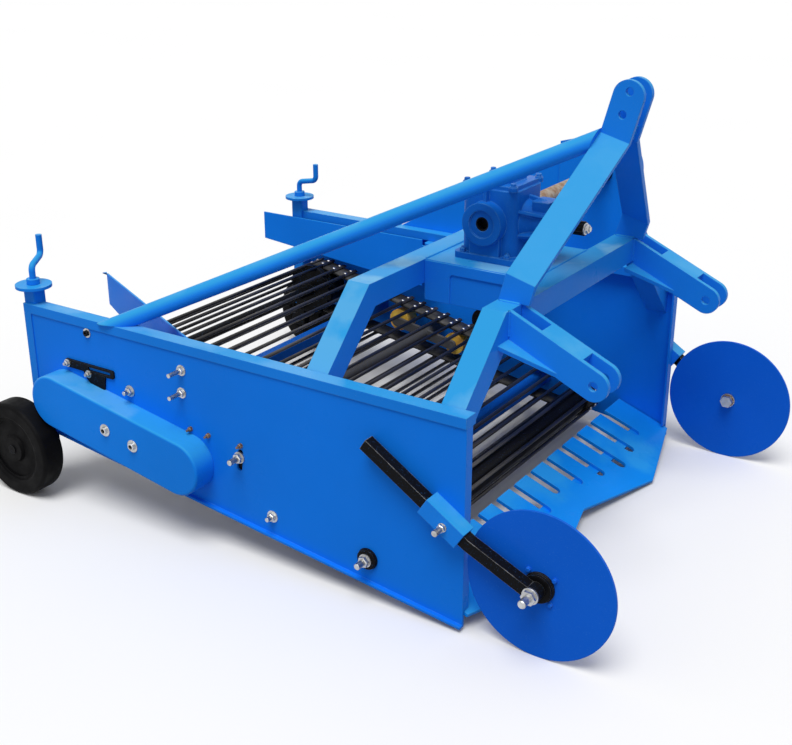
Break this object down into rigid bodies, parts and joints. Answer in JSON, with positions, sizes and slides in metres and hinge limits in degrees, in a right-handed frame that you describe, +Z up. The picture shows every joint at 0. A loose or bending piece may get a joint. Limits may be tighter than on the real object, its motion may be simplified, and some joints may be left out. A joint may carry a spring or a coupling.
{
  "type": "tractor mounted potato digger",
  "caption": "Potato digger for a three-point linkage: toothed share, rod web between side plates, gearbox on arches, cutting discs, cranked rear wheels and deflector boards.",
  "frame": {"origin": "on the ground, under the middle of the machine", "axes": "+X forward to the tractor, +Y to the left, +Z up"},
  "size_m": [1.837, 1.402, 1.1442],
  "materials": {
    "blue_paint": "semi-gloss sprayed enamel",
    "blue_casting": "enamel over rough cast iron",
    "black_steel": "black painted and oiled steel",
    "black_rubber": "solid moulded rubber",
    "zinc_steel": "zinc plated",
    "rusty_steel": "bare, lightly rusted",
    "yellow_plastic": "moulded, dusty"
  },
  "bodies": {
    "frame": {"left_side_plate": "blue_paint", "left_rail": "blue_paint", "left_rear_post": "blue_paint", "left_lower_clevis": "blue_paint", "left_mast_bar": "blue_paint", "left_disc_sleeve": "blue_paint", "left_board_hinge": "blue_paint", "left_crank": "blue_paint", "left_disc_arm": "black_steel", "left_disc_axle": "zinc_steel", "left_chain_case": "blue_paint", "right_side_plate": "blue_paint", "right_rail": "blue_paint", "right_rear_post": "blue_paint", "right_lower_clevis": "blue_paint", "right_mast_bar": "blue_paint", "right_disc_sleeve": "blue_paint", "right_board_hinge": "blue_paint", "right_crank": "blue_paint", "right_disc_arm": "black_steel", "right_disc_axle": "zinc_steel", "right_chain_case": "blue_paint", "front_arch": "blue_paint", "rear_arch": "blue_paint", "gearbox_base": "blue_paint", "mast_block": "blue_paint", "brace_pipe": "blue_paint", "share": "blue_paint", "share_bar": "blue_paint", "front_cross_tube": "blue_paint", "rear_cross_tube": "blue_paint", "drive_plate": "blue_paint", "gearbox": "blue_casting", "pto_shaft": "zinc_steel", "output_shaft": "rusty_steel", "rod_web": "black_steel", "front_roller": "black_steel", "drive_shaft": "black_steel", "shaker_shaft": "black_steel", "drive_bearing": "black_steel", "case_bracket": "black_steel", "shaker_rollers": "yellow_plastic"},
    "left_disc": {"left_cutting_disc": "blue_paint"},
    "left_leg": {"left_wheel_leg": "black_steel"},
    "left_wheel": {"left_tyre": "black_rubber", "left_wheel_hub": "black_steel"},
    "left_deflector": {"left_board": "blue_paint"},
    "right_disc": {"right_cutting_disc": "blue_paint"},
    "right_leg": {"right_wheel_leg": "black_steel"},
    "right_wheel": {"right_tyre": "black_rubber", "right_wheel_hub": "black_steel"},
    "right_deflector": {"right_board": "blue_paint"}
  },
  "joints": [
    {"name": "left_disc_spin", "type": "hinge", "parent": "frame", "child": "left_disc", "pos_m": [0.7435, 0.591, 0.175], "axis": [0, 1, 0], "continuous": true},
    {"name": "left_leg_slide", "type": "slide", "parent": "frame", "child": "left_leg", "axis": [0, 0, -1], "range_m": [0, 0.12]},
    {"name": "left_wheel_spin", "type": "hinge", "parent": "left_leg", "child": "left_wheel", "pos_m": [-0.7875, 0.667, 0.131], "axis": [0, 1, 0], "continuous": true},
    {"name": "left_board_swing", "type": "hinge", "parent": "frame", "child": "left_deflector", "pos_m": [-0.2405, 0.545, 0.431], "axis": [0, 0, 1], "range_deg": [0, 40]},
    {"name": "right_disc_spin", "type": "hinge", "parent": "frame", "child": "right_disc", "pos_m": [0.7435, -0.591, 0.175], "axis": [0, 1, 0], "continuous": true},
    {"name": "right_leg_slide", "type": "slide", "parent": "frame", "child": "right_leg", "axis": [0, 0, -1], "range_m": [0, 0.12]},
    {"name": "right_wheel_spin", "type": "hinge", "parent": "right_leg", "child": "right_wheel", "pos_m": [-0.7875, -0.667, 0.131], "axis": [0, 1, 0], "continuous": true},
    {"name": "right_board_swing", "type": "hinge", "parent": "frame", "child": "right_deflector", "pos_m": [-0.2405, -0.545, 0.431], "axis": [0, 0, -1], "range_deg": [-26, 14]}
  ]
}
